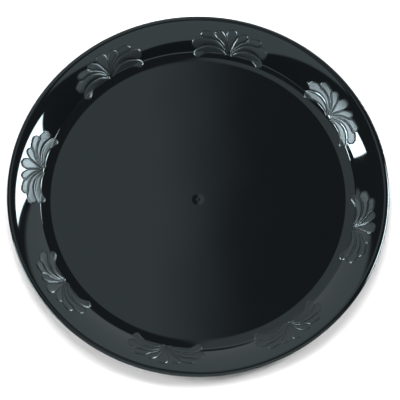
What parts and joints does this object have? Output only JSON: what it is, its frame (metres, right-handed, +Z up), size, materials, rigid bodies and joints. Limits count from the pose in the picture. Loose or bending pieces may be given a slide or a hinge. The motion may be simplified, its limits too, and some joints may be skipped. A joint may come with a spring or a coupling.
{
  "type": "serving tray",
  "caption": "Round glossy black serving tray with a flat well, a raised domed rim with fan ornaments, a rolled lip and a foot ring underneath.",
  "frame": {"origin": "centre of the foot ring, in the plane that the tray rests on", "axes": "+Z up out of the well; a fan ornament on the rim points along +X"},
  "size_m": [0.26, 0.26, 0.0139],
  "materials": {
    "tray_plastic": "glossy black injection-moulded polystyrene, satin on the raised petals"
  },
  "bodies": {
    "root": {"tray_moulding": "tray_plastic"}
  },
  "joints": []
}
